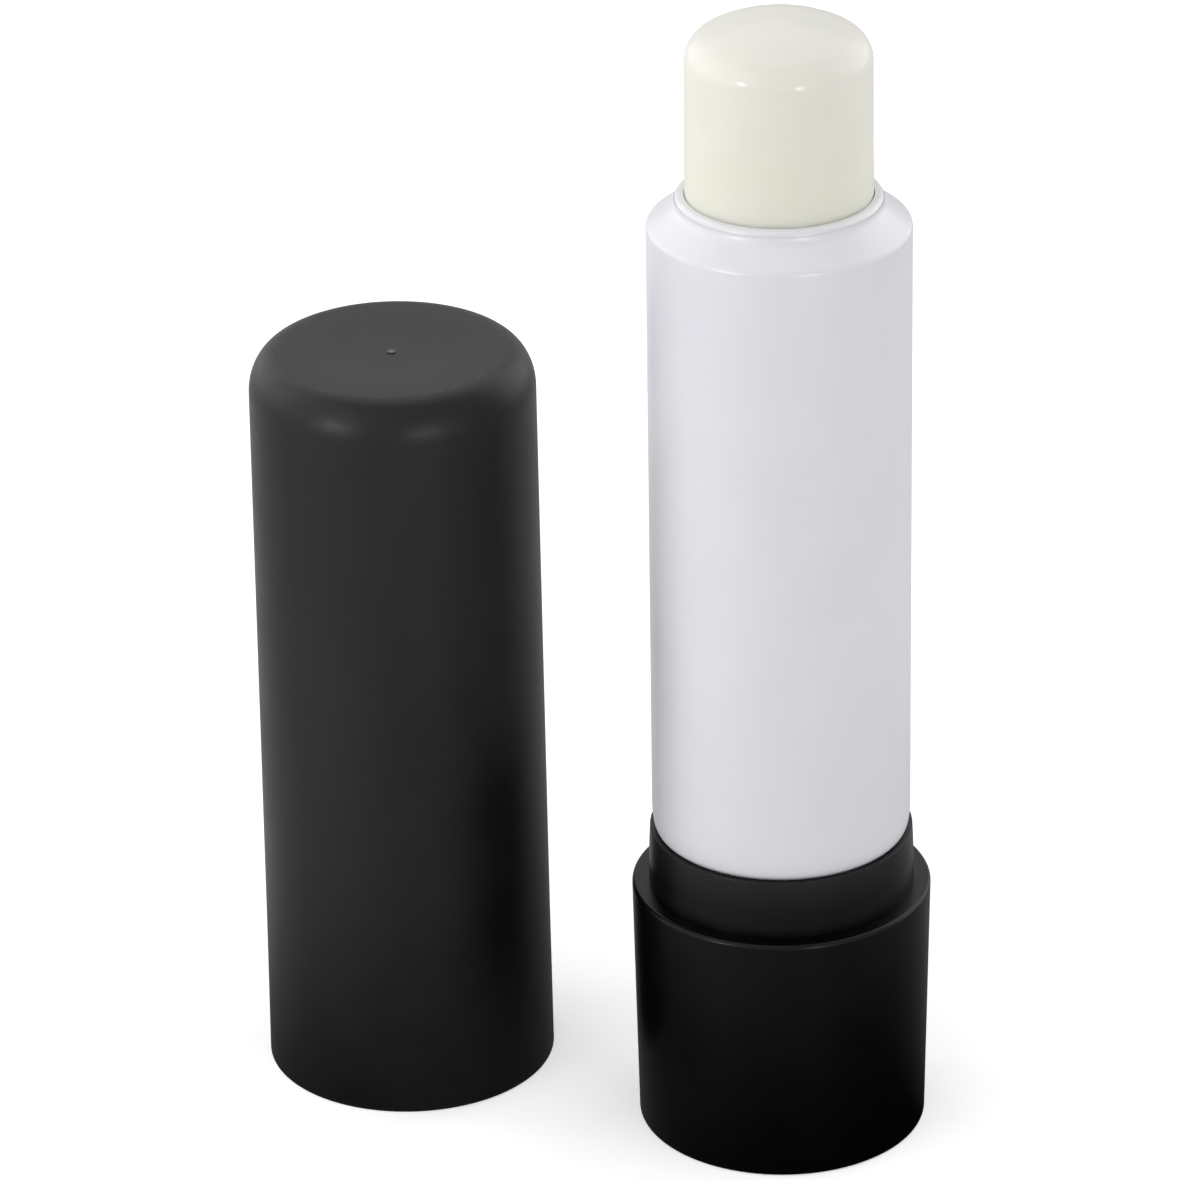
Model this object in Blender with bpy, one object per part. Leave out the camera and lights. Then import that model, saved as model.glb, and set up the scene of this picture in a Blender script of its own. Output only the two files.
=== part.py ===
"""Twist-up lip balm stick, standing on its base with the balm wound out, and its cap stood beside it.

Lengths are in metres. The stick's axis is Z and its foot is on the XY plane. Twisting the white shell
on the base turns a helix inside it, which lifts the balm along two straight slots in the inner tube.
"""

import math

import bmesh
import bpy

# Facets round the turned pieces that show, and round the ones inside
OUTER_FACETS = 64
INNER_FACETS = 48
PEG_FACETS = 16
ARC_STEPS = 3
CROWN_STEPS = 6
SHARP_ANGLE = math.radians(30)

# Clearances
RUNNING_GAP = 0.0001
SEAT_GAP = 0.0001
TUBE_SEAT_GAP = 0.0003
CUT_OVERRUN = 0.0004

# Balm bullet
BALM_RADIUS = 0.00609
BALM_TIP_TAPER = 0.00007
BALM_CROWN_RISE = 0.00188
BALM_EDGE_ROUND = 0.00205
BALM_LENGTH = 0.0415
BALM_SHOWN = 0.01205
BALM_BORE_GAP = 0.00011

# Carrier cup under the balm, and its two pegs
CUP_HEIGHT = 0.008
CUP_FLOOR = 0.001
CUP_WALL = 0.00045
CUP_RIM_ROUND = 0.00015
PEG_RADIUS = 0.00085
PEG_HEIGHT = 0.0018
PEG_TIP_CHAMFER = 0.00012

# Travel of the carrier, and the helix that drives it
SUNK_DEPTH = 0.001
WIND_OUT = 0.019
HELIX_LEAD = 0.02
HELIX_STARTS = 2
GROOVE_STEPS_PER_TURN = 36

# Inner tube, slotted for the pegs
TUBE_WALL = 0.0005
TUBE_RIM_STAND = 0.00075
TUBE_RIM_ROUND = 0.00022
PEG_SIDE_GAP = 0.00015
PEG_END_GAP = 0.0003

# Spiral sleeve, grooved inside
SPIRAL_WALL = 0.0008
GROOVE_DEPTH = 0.0005
GROOVE_SIDE_GAP = 0.0002
GROOVE_RUN_OUT = 0.0008
SPIRAL_END_GAP = 0.0002

# Outer shell
SHELL_SHOWN = 0.0432
SHELL_STEP = 0.00045
SHELL_TAPER = 0.000045
SHELL_EDGE_ROUND = 0.00045
SHELL_FOOT_WIDTH = 0.0003
SHELL_FOOT_RISE = 0.0017
SHOULDER_RISE = 0.00135
SHELL_ROOF_DROP = 0.0004
SKIRT_WALL = 0.00045
SKIRT_OVERLAP = 0.0005
SNAP_BEAD = 0.0002
SNAP_BEAD_WIDTH = 0.001
SNAP_BEAD_HEIGHT = 0.0035

# Base, with the neck that the cap grips and the boss that holds the inner tube
BASE_HEIGHT = 0.01766
BASE_FLOOR = 0.0014
BASE_LEDGE = 0.00115
BASE_DRAFT = 0.00033
BASE_EDGE_ROUND = 0.00012
FOOT_ROUND = 0.00025
NECK_HEIGHT = 0.00404
NECK_WALL = 0.0006
NECK_LEAD = 0.00009
NECK_LEAD_HEIGHT = 0.0009
NECK_LIP_ROUND = 0.00006
BOSS_HEIGHT = 0.0106
BOSS_WALL = 0.00075

# Drag ring between the inner tube and the shell
RING_SECTION_SIDES = 8

# Cap, stood on its mouth beside the stick
CAP_PLACE = (-0.025335, 0.009424)
CAP_MOUTH_WALL = 0.00087
CAP_FLARE_HEIGHT = 0.0105
CAP_FLARE = 0.00009
CAP_TAPER = 0.00021
CAP_NECK_FIT = 0.0001
CAP_SHELL_GAP = 0.0001
CAP_HEADROOM = 0.0008
CAP_ROOF = 0.00233
CAP_CORNER_WIDTH = 0.00216
CAP_CORNER_RISE = 0.0029
CAP_DISH = 0.00027
CAP_INNER_ROUND = 0.0009
CAP_MOUTH_ROUND = 0.00012
GATE_RADIUS = 0.00028
GATE_HEIGHT = 0.00007
GRIP_RIBS = 6
GRIP_RIB_WIDTH = 0.0008
GRIP_RIB_STAND = 0.00014
GRIP_RIB_LENGTH = 0.0045
GRIP_RIB_INSET = 0.0006

# Radii, from the balm outwards
TUBE_BORE = BALM_RADIUS + BALM_BORE_GAP
TUBE_RADIUS = TUBE_BORE + TUBE_WALL
SPIRAL_BORE = TUBE_RADIUS + RUNNING_GAP
SPIRAL_RADIUS = SPIRAL_BORE + SPIRAL_WALL
SHELL_BORE = SPIRAL_RADIUS + RUNNING_GAP
SKIRT_RADIUS = SHELL_BORE + SKIRT_WALL
SHELL_RADIUS = SKIRT_RADIUS + SHELL_STEP
NECK_BORE = SKIRT_RADIUS + RUNNING_GAP
NECK_RADIUS = NECK_BORE + NECK_WALL
BASE_RADIUS = NECK_RADIUS + BASE_LEDGE
BOSS_BORE = TUBE_RADIUS + RUNNING_GAP
BOSS_RADIUS = BOSS_BORE + BOSS_WALL
GROOVE_RADIUS = SPIRAL_BORE + GROOVE_DEPTH
CAP_BORE = NECK_RADIUS + CAP_NECK_FIT
CAP_MOUTH_RADIUS = CAP_BORE + CAP_MOUTH_WALL
CAP_FLARE_RADIUS = CAP_MOUTH_RADIUS - CAP_FLARE
CAP_RADIUS = CAP_FLARE_RADIUS - CAP_TAPER

# Heights, from the foot upwards
NECK_TOP = BASE_HEIGHT + NECK_HEIGHT
BOSS_TOP = BASE_FLOOR + BOSS_HEIGHT
SHELL_FOOT = NECK_TOP + SEAT_GAP
SHELL_EDGE = SHELL_FOOT + SHELL_SHOWN
SHELL_MOUTH = SHELL_EDGE + SHOULDER_RISE
SHELL_ROOF = SHELL_EDGE - SHELL_ROOF_DROP
TUBE_FOOT = BASE_FLOOR + TUBE_SEAT_GAP
TUBE_RIM = SHELL_MOUTH + TUBE_RIM_STAND
RING_THICKNESS = SHELL_BORE - TUBE_RADIUS - 2 * RUNNING_GAP
RING_MIDDLE = BOSS_TOP + SEAT_GAP + RING_THICKNESS / 2
SPIRAL_FOOT = RING_MIDDLE + RING_THICKNESS / 2 + SEAT_GAP
SPIRAL_TOP = SHELL_ROOF - SPIRAL_END_GAP
BEAD_MIDDLE = BOSS_TOP + SNAP_BEAD_HEIGHT
BALM_TIP = TUBE_RIM + BALM_SHOWN
BALM_FOOT = BALM_TIP - BALM_LENGTH
CUP_FOOT = BALM_FOOT - SEAT_GAP - CUP_FLOOR
CUP_TOP = CUP_FOOT + CUP_HEIGHT
PEG_LEVEL = CUP_FOOT + PEG_HEIGHT
WIND_IN = BALM_SHOWN + SUNK_DEPTH
CAP_INSIDE = TUBE_RIM - BASE_HEIGHT + CAP_HEADROOM
CAP_HEIGHT = CAP_INSIDE + CAP_ROOF


def clear_scene():
    for existing in list(bpy.data.objects):
        bpy.data.objects.remove(existing)


def plastic(name, colour, roughness):
    """A Principled material with the piece's colour in linear light."""
    material = bpy.data.materials.new(name)
    material.use_nodes = True
    shader = material.node_tree.nodes["Principled BSDF"]
    shader.inputs["Base Color"].default_value = (*colour, 1.0)
    shader.inputs["Roughness"].default_value = roughness
    shader.inputs["Metallic"].default_value = 0.0
    material.diffuse_color = (*colour, 1.0)
    return material


def rounded(outline):
    """The (radius, height) points of an outline of (radius, height, round), with an arc at each round."""
    points = []
    last = len(outline) - 1
    for index, (radius, height, size) in enumerate(outline):
        if index in (0, last) or not size:
            points.append((radius, height))
            continue
        before = outline[index - 1]
        after = outline[index + 1]
        back = math.atan2(before[1] - height, before[0] - radius)
        ahead = math.atan2(after[1] - height, after[0] - radius)
        opening = (ahead - back + math.pi) % math.tau - math.pi
        half = opening / 2
        reach = size / abs(math.tan(half))
        middle = size / abs(math.sin(half))
        centre_radius = radius + middle * math.cos(back + half)
        centre_height = height + middle * math.sin(back + half)
        start_radius = radius + reach * math.cos(back)
        start_height = height + reach * math.sin(back)
        start = math.atan2(start_height - centre_height, start_radius - centre_radius)
        turn = -math.copysign(math.pi - abs(opening), opening)
        for step in range(ARC_STEPS + 1):
            angle = start + turn * step / ARC_STEPS
            points.append((centre_radius + size * math.cos(angle), centre_height + size * math.sin(angle)))
    return points


def ellipse_corner(radius, height, width, rise):
    """Points from the top of a straight side over an elliptic corner to the crest inside it."""
    points = []
    for step in range(1, CROWN_STEPS + 1):
        angle = math.pi / 2 * step / CROWN_STEPS
        points.append((radius - width + width * math.cos(angle), height + rise * math.sin(angle)))
    return points


def ellipse_foot(radius, height, width, rise):
    """Outline points up an elliptic corner, from the foot of a wall to its straight side."""
    points = []
    for step in range(CROWN_STEPS + 1):
        angle = math.pi / 2 * step / CROWN_STEPS
        points.append((radius - width + width * math.sin(angle), height + rise * (1 - math.cos(angle)), 0))
    return points


def dished_top(crest_radius, crest_height, dish, inner_radius):
    """Points from a crest inwards over a shallow smooth dish, as far as the inner radius."""
    points = []
    for step in range(1, CROWN_STEPS + 1):
        radius = crest_radius + (inner_radius - crest_radius) * step / CROWN_STEPS
        fall = dish * (1 + math.cos(math.pi * radius / crest_radius)) / 2
        points.append((radius, crest_height - fall))
    return points


def domed_tip(radius, crown_rise, edge_round, tip):
    """Points from the top of a straight side over a rounded edge and a spherical crown to the axis."""
    crown_radius = (radius**2 + crown_rise**2) / (2 * crown_rise)
    edge_centre = radius - edge_round
    crown_centre = tip - crown_radius
    slope = math.asin(edge_centre / (crown_radius - edge_round))
    edge_height = crown_centre + (crown_radius - edge_round) * math.cos(slope)
    points = []
    for step in range(CROWN_STEPS + 1):
        angle = (math.pi / 2 - slope) * step / CROWN_STEPS
        reach = edge_centre + edge_round * math.cos(angle)
        points.append((reach, edge_height + edge_round * math.sin(angle)))
    for step in range(1, CROWN_STEPS):
        angle = slope * (1 - step / CROWN_STEPS)
        points.append((crown_radius * math.sin(angle), crown_centre + crown_radius * math.cos(angle)))
    points.append((0.0, tip))
    return points


def add_object(name, mesh_builder, material):
    """A scene object from a bmesh, closed, facing out and shaded smooth between its sharp edges."""
    merge_distance = RUNNING_GAP / 1000
    bmesh.ops.remove_doubles(mesh_builder, verts=mesh_builder.verts, dist=merge_distance)
    bmesh.ops.dissolve_degenerate(mesh_builder, edges=mesh_builder.edges, dist=merge_distance)
    bmesh.ops.recalc_face_normals(mesh_builder, faces=mesh_builder.faces)
    mesh = bpy.data.meshes.new(name)
    mesh_builder.to_mesh(mesh)
    mesh_builder.free()
    mesh.shade_smooth()
    mesh.set_sharp_from_angle(angle=SHARP_ANGLE)
    if material:
        mesh.materials.append(material)
    made = bpy.data.objects.new(name, mesh)
    bpy.context.scene.collection.objects.link(made)
    return made


def turned(name, profile, facets, material, closed=False):
    """A solid of revolution about Z, from points on the XZ plane. A closed profile makes a ring."""
    builder = bmesh.new()
    verts = [builder.verts.new((radius, 0.0, height)) for radius, height in profile]
    pairs = list(zip(verts, verts[1:]))
    if closed:
        pairs.append((verts[-1], verts[0]))
    edges = [builder.edges.new(pair) for pair in pairs]
    bmesh.ops.spin(
        builder,
        geom=verts + edges,
        cent=(0.0, 0.0, 0.0),
        axis=(0.0, 0.0, 1.0),
        angle=math.tau,
        steps=facets,
        use_merge=True,
    )
    return add_object(name, builder, material)


def block(name, low, high):
    """A box cutter between two corners."""
    builder = bmesh.new()
    bmesh.ops.create_cube(builder, size=1.0)
    for vert in builder.verts:
        for axis in range(3):
            vert.co[axis] = low[axis] if vert.co[axis] < 0 else high[axis]
    return add_object(name, builder, None)


def helper(tool):
    tool.hide_render = True
    tool.display_type = "WIRE"
    return tool


def combine(target, tool, operation):
    """Cuts or joins a helper with a Boolean modifier that stays on the target."""
    modifier = target.modifiers.new(tool.name, "BOOLEAN")
    modifier.operation = operation
    modifier.solver = "EXACT"
    modifier.object = helper(tool)


def helical_cutter(name, start_angle, low_turn, high_turn):
    """A bar of upright section that winds up a right-hand helix and reaches out to the groove's depth."""
    mean_radius = (SPIRAL_BORE + GROOVE_RADIUS) / 2
    climb = math.atan2(HELIX_LEAD, math.tau * mean_radius)
    half_width = (PEG_RADIUS + GROOVE_SIDE_GAP) / math.cos(climb)
    inner_radius = TUBE_RADIUS - CUT_OVERRUN
    steps = math.ceil((high_turn - low_turn) / math.tau * GROOVE_STEPS_PER_TURN)
    builder = bmesh.new()
    rings = []
    for step in range(steps + 1):
        turn = low_turn + (high_turn - low_turn) * step / steps
        height = PEG_LEVEL + HELIX_LEAD * turn / math.tau
        angle = start_angle + turn
        corners = (
            (inner_radius, height - half_width),
            (GROOVE_RADIUS, height - half_width),
            (GROOVE_RADIUS, height + half_width),
            (inner_radius, height + half_width),
        )
        rings.append([builder.verts.new((r * math.cos(angle), r * math.sin(angle), z)) for r, z in corners])
    for lower, upper in zip(rings, rings[1:]):
        for side in range(4):
            following = (side + 1) % 4
            builder.faces.new((lower[side], lower[following], upper[following], upper[side]))
    builder.faces.new(rings[0])
    builder.faces.new(rings[-1])
    return add_object(name, builder, None)


def base(material):
    """The closed base, stepped in to the neck, with a ring-shaped boss on its floor."""
    groove_half = SNAP_BEAD_WIDTH / 2 + RUNNING_GAP
    groove_radius = NECK_BORE + SNAP_BEAD
    profile = rounded([
        (0.0, 0.0, 0),
        (BASE_RADIUS - BASE_DRAFT, 0.0, FOOT_ROUND),
        (BASE_RADIUS, BASE_HEIGHT, BASE_EDGE_ROUND),
        (NECK_RADIUS, BASE_HEIGHT, 0),
        (NECK_RADIUS, NECK_TOP - NECK_LEAD_HEIGHT, 0),
        (NECK_RADIUS - NECK_LEAD, NECK_TOP, NECK_LIP_ROUND),
        (NECK_BORE, NECK_TOP, 0),
        (NECK_BORE, BEAD_MIDDLE + groove_half, 0),
        (groove_radius, BEAD_MIDDLE + groove_half, 0),
        (groove_radius, BEAD_MIDDLE - groove_half + SNAP_BEAD, 0),
        (NECK_BORE, BEAD_MIDDLE - groove_half, 0),
        (NECK_BORE, BASE_FLOOR, 0),
        (BOSS_RADIUS, BASE_FLOOR, 0),
        (BOSS_RADIUS, BOSS_TOP, 0),
        (BOSS_BORE, BOSS_TOP, 0),
        (BOSS_BORE, BASE_FLOOR, 0),
        (0.0, BASE_FLOOR, 0),
    ])
    return turned("base", profile, OUTER_FACETS, material)


def inner_tube(material):
    """The tube that the balm slides in, fixed in the base's boss, with two slots for the pegs."""
    profile = rounded([
        (TUBE_BORE, TUBE_FOOT, 0),
        (TUBE_RADIUS, TUBE_FOOT, 0),
        (TUBE_RADIUS, TUBE_RIM, TUBE_RIM_ROUND),
        (TUBE_BORE, TUBE_RIM, 0),
    ])
    tube = turned("inner_tube", profile, INNER_FACETS, material, closed=True)
    reach = TUBE_RADIUS + CUT_OVERRUN
    half_width = PEG_RADIUS + PEG_SIDE_GAP
    margin = PEG_RADIUS + PEG_END_GAP
    low = (-reach, -half_width, PEG_LEVEL - WIND_IN - margin)
    high = (reach, half_width, PEG_LEVEL + WIND_OUT + margin)
    combine(tube, block("slot_cutter", low, high), "DIFFERENCE")
    return tube


def spiral_sleeve(material):
    """The sleeve whose inside grooves drive the pegs. It is fixed in the shell and turns with it."""
    profile = [
        (SPIRAL_BORE, SPIRAL_FOOT),
        (SPIRAL_RADIUS, SPIRAL_FOOT),
        (SPIRAL_RADIUS, SPIRAL_TOP),
        (SPIRAL_BORE, SPIRAL_TOP),
    ]
    sleeve = turned("spiral_sleeve", profile, INNER_FACETS, material, closed=True)
    run_out = (PEG_RADIUS + GROOVE_RUN_OUT) / SPIRAL_BORE
    low_turn = -math.tau * WIND_IN / HELIX_LEAD - run_out
    high_turn = math.tau * WIND_OUT / HELIX_LEAD + run_out
    for start in range(HELIX_STARTS):
        start_angle = math.tau * start / HELIX_STARTS
        cutter = helical_cutter(f"groove_cutter_{start + 1}", start_angle, low_turn, high_turn)
        combine(sleeve, cutter, "DIFFERENCE")
    return sleeve


def outer_shell(material):
    """The white tube that is twisted: a skirt inside the neck, a straight body and a sloped shoulder."""
    mouth = TUBE_RADIUS + RUNNING_GAP
    skirt_foot = BOSS_TOP - SKIRT_OVERLAP
    bead_half = SNAP_BEAD_WIDTH / 2
    bead_radius = SKIRT_RADIUS + SNAP_BEAD
    skirt = [
        (SHELL_BORE, skirt_foot, 0),
        (SKIRT_RADIUS, skirt_foot, 0),
        (SKIRT_RADIUS, BEAD_MIDDLE - bead_half, 0),
        (bead_radius, BEAD_MIDDLE - bead_half + SNAP_BEAD, 0),
        (bead_radius, BEAD_MIDDLE + bead_half, 0),
        (SKIRT_RADIUS, BEAD_MIDDLE + bead_half, 0),
        (SKIRT_RADIUS, SHELL_FOOT, 0),
    ]
    top = [
        (SHELL_RADIUS - SHELL_TAPER, SHELL_EDGE, SHELL_EDGE_ROUND),
        (mouth, SHELL_MOUTH, 0),
        (mouth, SHELL_ROOF, 0),
        (SHELL_BORE, SHELL_ROOF, 0),
    ]
    foot = ellipse_foot(SHELL_RADIUS, SHELL_FOOT, SHELL_FOOT_WIDTH, SHELL_FOOT_RISE)
    profile = rounded(skirt + foot + top)
    return turned("outer_shell", profile, OUTER_FACETS, material, closed=True)


def drag_ring(material):
    """The soft ring round the inner tube's foot that makes the twist stiff enough to hold."""
    half = RING_THICKNESS / 2
    middle = TUBE_RADIUS + RUNNING_GAP + half
    profile = []
    for side in range(RING_SECTION_SIDES):
        angle = math.tau * (side + 0.5) / RING_SECTION_SIDES
        profile.append((middle + half * math.cos(angle), RING_MIDDLE + half * math.sin(angle)))
    return turned("drag_ring", profile, INNER_FACETS, material, closed=True)


def peg(name, side):
    """One peg of the carrier, lying along X, rooted half way into the cup's wall."""
    root = BALM_RADIUS - CUP_WALL / 2
    tip = GROOVE_RADIUS - RUNNING_GAP
    stations = ((root, PEG_RADIUS), (tip - PEG_TIP_CHAMFER, PEG_RADIUS), (tip, PEG_RADIUS - PEG_TIP_CHAMFER))
    builder = bmesh.new()
    rings = []
    for reach, radius in stations:
        ring = []
        for facet in range(PEG_FACETS):
            angle = math.tau * facet / PEG_FACETS
            place = (side * reach, radius * math.cos(angle), PEG_LEVEL + radius * math.sin(angle))
            ring.append(builder.verts.new(place))
        rings.append(ring)
    edges = []
    for ring in rings:
        edges += [builder.edges.new(pair) for pair in zip(ring, ring[1:] + ring[:1])]
    bmesh.ops.bridge_loops(builder, edges=edges[: 2 * PEG_FACETS])
    bmesh.ops.bridge_loops(builder, edges=edges[PEG_FACETS:])
    builder.faces.new(rings[0])
    builder.faces.new(rings[-1])
    return add_object(name, builder, None)


def carrier_cup(material):
    """The cup that holds the balm's foot, with a peg on each side."""
    bore = BALM_RADIUS - CUP_WALL
    profile = rounded([
        (0.0, CUP_FOOT, 0),
        (BALM_RADIUS, CUP_FOOT, CUP_RIM_ROUND),
        (BALM_RADIUS, CUP_TOP, 0),
        (bore, CUP_TOP, 0),
        (bore, CUP_FOOT + CUP_FLOOR, 0),
        (0.0, CUP_FOOT + CUP_FLOOR, 0),
    ])
    cup = turned("carrier_cup", profile, INNER_FACETS, material)
    combine(cup, peg("peg_right", 1), "UNION")
    combine(cup, peg("peg_left", -1), "UNION")
    return cup


def balm(material):
    """The balm: a stub that fills the cup, and a bullet above it with a domed tip."""
    stub = BALM_RADIUS - CUP_WALL - RUNNING_GAP
    shoulder = CUP_TOP + SEAT_GAP
    tip_radius = BALM_RADIUS - BALM_TIP_TAPER
    profile = [(0.0, BALM_FOOT), (stub, BALM_FOOT), (stub, shoulder), (BALM_RADIUS, shoulder)]
    profile += domed_tip(tip_radius, BALM_CROWN_RISE, BALM_EDGE_ROUND, BALM_TIP)
    return turned("balm", profile, OUTER_FACETS, material)


def cap(material):
    """The cap, a deep thin cup stood on its mouth, with grip ribs for the neck and a moulding gate on top."""
    crest_radius = CAP_RADIUS - CAP_CORNER_WIDTH
    inner_radius = SHELL_RADIUS + CAP_SHELL_GAP
    corner_foot = CAP_HEIGHT - CAP_CORNER_RISE
    profile = rounded([
        (0.0, CAP_INSIDE, 0),
        (inner_radius, CAP_INSIDE, CAP_INNER_ROUND),
        (CAP_BORE, CAP_FLARE_HEIGHT, 0),
        (CAP_BORE, 0.0, CAP_MOUTH_ROUND),
        (CAP_MOUTH_RADIUS, 0.0, CAP_MOUTH_ROUND),
        (CAP_FLARE_RADIUS, CAP_FLARE_HEIGHT, 0),
        (CAP_RADIUS, corner_foot, 0),
    ])
    profile += ellipse_corner(CAP_RADIUS, corner_foot, CAP_CORNER_WIDTH, CAP_CORNER_RISE)
    profile += dished_top(crest_radius, CAP_HEIGHT, CAP_DISH, GATE_RADIUS)
    gate_foot = profile[-1][1]
    profile += [(GATE_RADIUS, gate_foot + GATE_HEIGHT), (0.0, gate_foot + GATE_HEIGHT)]
    made = turned("cap", profile, OUTER_FACETS, material)
    made.location = (*CAP_PLACE, 0.0)
    for rib in range(GRIP_RIBS):
        name = f"grip_rib_{rib + 1}"
        low = (CAP_BORE - GRIP_RIB_STAND, -GRIP_RIB_WIDTH / 2, GRIP_RIB_INSET)
        high = (CAP_BORE + CAP_MOUTH_WALL / 2, GRIP_RIB_WIDTH / 2, GRIP_RIB_INSET + GRIP_RIB_LENGTH)
        grip = block(name, low, high)
        grip.location = made.location
        grip.rotation_euler = (0.0, 0.0, math.tau * (rib + 0.5) / GRIP_RIBS)
        combine(made, grip, "UNION")
    return made


def build():
    clear_scene()
    black = plastic("black_plastic", (0.001, 0.001, 0.0011), 0.25)
    charcoal = plastic("charcoal_plastic", (0.0048, 0.0048, 0.0049), 0.42)
    white = plastic("white_plastic", (0.752, 0.762, 0.806), 0.35)
    tube_white = plastic("tube_plastic", (0.757, 0.762, 0.786), 0.35)
    natural = plastic("natural_plastic", (0.72, 0.72, 0.695), 0.45)
    rubber = plastic("ring_rubber", (0.34, 0.35, 0.36), 0.65)
    wax = plastic("balm_wax", (0.84, 0.83, 0.765), 0.3)
    base(black)
    inner_tube(tube_white)
    drag_ring(rubber)
    spiral_sleeve(natural)
    outer_shell(white)
    carrier_cup(natural)
    balm(wax)
    cap(charcoal)


build()
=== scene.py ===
"""Looks for the twist-up lip balm stick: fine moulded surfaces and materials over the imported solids.

Lengths are in metres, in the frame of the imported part: Z is the stick's axis and the foot is at zero.
"""

import math

import bmesh
import bpy
from mathutils import Matrix, Vector, noise

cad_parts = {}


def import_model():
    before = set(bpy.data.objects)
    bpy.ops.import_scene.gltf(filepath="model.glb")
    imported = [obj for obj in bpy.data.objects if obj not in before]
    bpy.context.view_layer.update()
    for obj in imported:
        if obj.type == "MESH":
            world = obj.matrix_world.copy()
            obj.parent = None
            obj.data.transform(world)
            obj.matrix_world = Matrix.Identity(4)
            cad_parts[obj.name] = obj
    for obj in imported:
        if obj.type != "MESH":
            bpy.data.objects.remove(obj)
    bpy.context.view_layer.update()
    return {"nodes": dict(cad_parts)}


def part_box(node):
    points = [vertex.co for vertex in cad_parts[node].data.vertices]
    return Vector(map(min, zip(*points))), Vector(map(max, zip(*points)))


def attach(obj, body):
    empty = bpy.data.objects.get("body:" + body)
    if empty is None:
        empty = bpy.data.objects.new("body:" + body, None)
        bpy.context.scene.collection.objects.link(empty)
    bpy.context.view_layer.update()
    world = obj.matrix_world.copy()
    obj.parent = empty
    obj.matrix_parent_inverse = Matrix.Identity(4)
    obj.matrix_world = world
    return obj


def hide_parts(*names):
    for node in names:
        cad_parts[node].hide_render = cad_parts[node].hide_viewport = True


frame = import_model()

MM = 0.001

# Photograph and camera
PHOTO_PIXELS = 1180
FOCAL_PIXELS = 6748.9
SENSOR_MM = 36.0
CAMERA_PLACE = Vector((-12.493, -398.402, 232.384)) * MM
CAMERA_PITCH = math.radians(25.880)
CAMERA_ROLL = math.radians(-0.974)
CLIP_START = 10 * MM
CLIP_END = 10.0

# Lamps: name, azimuth right of the camera and elevation in degrees, width, height and radiance
LAMP_TARGET = Vector((-12, 3, 45)) * MM
LAMP_DISTANCE = 0.7
LAMPS = (
    ("left_softbox", -78, 30, 0.80, 0.80, 1.02),
    ("left_front_softbox", -28, 32, 0.70, 0.70, 0.84),
    ("left_rim", -125, 20, 0.70, 0.70, 1.15),
    ("right_softbox", 52, 30, 0.80, 0.80, 0.62),
    ("right_rim", 120, 20, 0.70, 0.70, 1.42),
    ("overhead", 0, 82, 0.50, 0.50, 0.46),
)

# Two small lamps that show only as highlights, with the same values
HIGHLIGHTS = (
    ("left_spot", -46, 8.6, 0.11, 0.10, 34.0),
    ("right_spot", 24, 0.8, 0.10, 0.09, 36.0),
)

# The room's even light on the object
WORLD_FILL = 0.28

# The room in reflections: its levels in front of and behind the object, and the span between the two
WORLD_FRONT = 0.50
WORLD_BACK = 0.74
WORLD_FRONT_TO = -0.35
WORLD_BACK_FROM = 0.25

# The high soft light in reflections: its elevation behind the object, its half-width and what it adds
WORLD_HIGH_ELEVATION = math.radians(66)
WORLD_HIGH_HALF_WIDTH = math.radians(42)
WORLD_HIGH_LEVEL = 1.75

# Floor: its half-width, its height a hair below the feet, its colour, and what is added where it is seen
FLOOR_REACH = 3.0
FLOOR_HEIGHT = -0.01 * MM
FLOOR_COLOUR = 0.92
FLOOR_LIFT = 0.41

# The floor in reflections is a glow with painted shade: it darkens towards a place near each foot, to the
# right, and behind.
# Each dark place has the distances at which it starts and ends, and its level.
FLOOR_SHADE_PLACES = (
    (Vector((9, -9, 0)) * MM, 7 * MM, 76 * MM, 0.0),
    (Vector((-29, 3, 0)) * MM, 3 * MM, 32 * MM, 0.15),
)
FLOOR_LEFT = -60 * MM
FLOOR_RIGHT = 30 * MM
FLOOR_LEFT_LEVEL = 1.22
FLOOR_RIGHT_LEVEL = 0.95
FLOOR_BACK_FROM = -22 * MM
FLOOR_BACK_TO = 14 * MM
FLOOR_BACK_LEVEL = 0.60

# Facets round the turned surfaces, and steps over their arcs
FACETS = 256
ARC_STEPS = 8
CROWN_STEPS = 24
MERGE_DISTANCE = 0.0001 * MM
SHARP_ANGLE = math.radians(32)

# Base
BASE_FOOT_INSET = 0.33 * MM
BASE_HEIGHT = 17.66 * MM
BASE_EDGE_ROUND = 0.28 * MM
FOOT_ROUND = 0.25 * MM
NECK_RADIUS = 8.85 * MM
NECK_BORE = 8.25 * MM
NECK_LIP_ROUND = 0.04 * MM
NECK_LEAD = 0.10 * MM
NECK_LEAD_HEIGHT = 3.9 * MM
NECK_LEAD_STEPS = 12
NECK_LEAD_POWER = 2.5
BOSS_TOP = 12.0 * MM
BOSS_RADIUS = 7.55 * MM
BOSS_BORE = 6.80 * MM
BASE_FLOOR = 1.4 * MM
GROOVE_FOOT = 14.9 * MM
GROOVE_TOP = 16.1 * MM
BASE_DIMPLE_RADIUS = 1.5 * MM
BASE_DIMPLE_DEPTH = 0.15 * MM
BASE_DIMPLE_SLOPE = 0.3 * MM

# Snap bead, on the shell's skirt and in the groove
BEAD_FOOT = 15.0 * MM
BEAD_TOP = 16.0 * MM
BEAD_STAND = 0.2 * MM

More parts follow.
